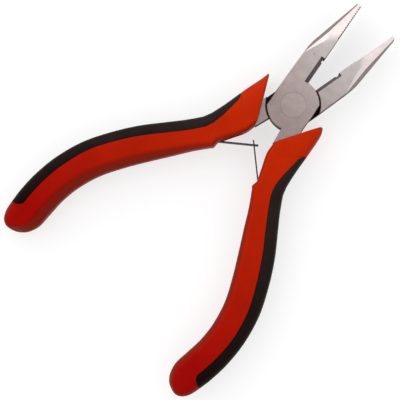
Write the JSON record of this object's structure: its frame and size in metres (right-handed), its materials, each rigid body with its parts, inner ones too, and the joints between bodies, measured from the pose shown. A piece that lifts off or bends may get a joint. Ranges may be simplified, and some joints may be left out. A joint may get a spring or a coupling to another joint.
{
  "type": "flat nose pliers",
  "caption": "Small lap-joint pliers with a tapered serrated nose, a side cutter behind it, crossed leaf springs and curved two-colour grips.",
  "frame": {"origin": "on the joint's pivot axis, at the rear ground face of the joint (the rear end of the pivot rivet), with the jaws standing open", "axes": "+X along the tool's centre line towards the jaw tips, +Z out of the front face of the joint, +Y towards the front half's jaw"},
  "size_m": [0.1198, 0.08, 0.0116],
  "materials": {
    "tool_steel": "satin ground and lightly pickled forged steel",
    "rivet_steel": "ground flush with the joint",
    "spring_steel": "blued-grey rolled spring strip",
    "grip_red": "fine-textured orange-red moulding, slight sheen",
    "grip_black": "matt soft-touch black moulding"
  },
  "bodies": {
    "rear_handle": {"rear_half": "tool_steel", "pivot_rivet": "rivet_steel", "rear_grip": "grip_red", "rear_grip_insert": "grip_black", "rear_spring_pin": "rivet_steel"},
    "front_handle": {"front_half": "tool_steel", "front_grip": "grip_red", "front_grip_insert": "grip_black", "front_spring_pin": "rivet_steel"},
    "front_leaf": {"front_leaf_spring": "spring_steel"},
    "rear_leaf": {"rear_leaf_spring": "spring_steel"}
  },
  "joints": [
    {"name": "jaw_pivot", "type": "hinge", "parent": "rear_handle", "child": "front_handle", "pos_m": [0, 0, 0.00425], "axis": [0, 0, 1], "range_deg": [-20.4, 5], "stiffness_Nm_per_rad": 0.5},
    {"name": "front_leaf_flex", "type": "hinge", "parent": "front_handle", "child": "front_leaf", "pos_m": [-0.02317, -0.00964, 0.00425], "axis": [0, 0, 1], "range_deg": [-17.4, 4.4]},
    {"name": "rear_leaf_flex", "type": "hinge", "parent": "rear_handle", "child": "rear_leaf", "pos_m": [-0.02317, 0.00964, 0.00425], "axis": [0, 0, 1], "range_deg": [-4.4, 17.4]}
  ],
  "couplings": [
    {"joint": "front_leaf_flex", "follows": "jaw_pivot", "ratio": 0.84},
    {"joint": "rear_leaf_flex", "follows": "jaw_pivot", "ratio": -0.84}
  ]
}
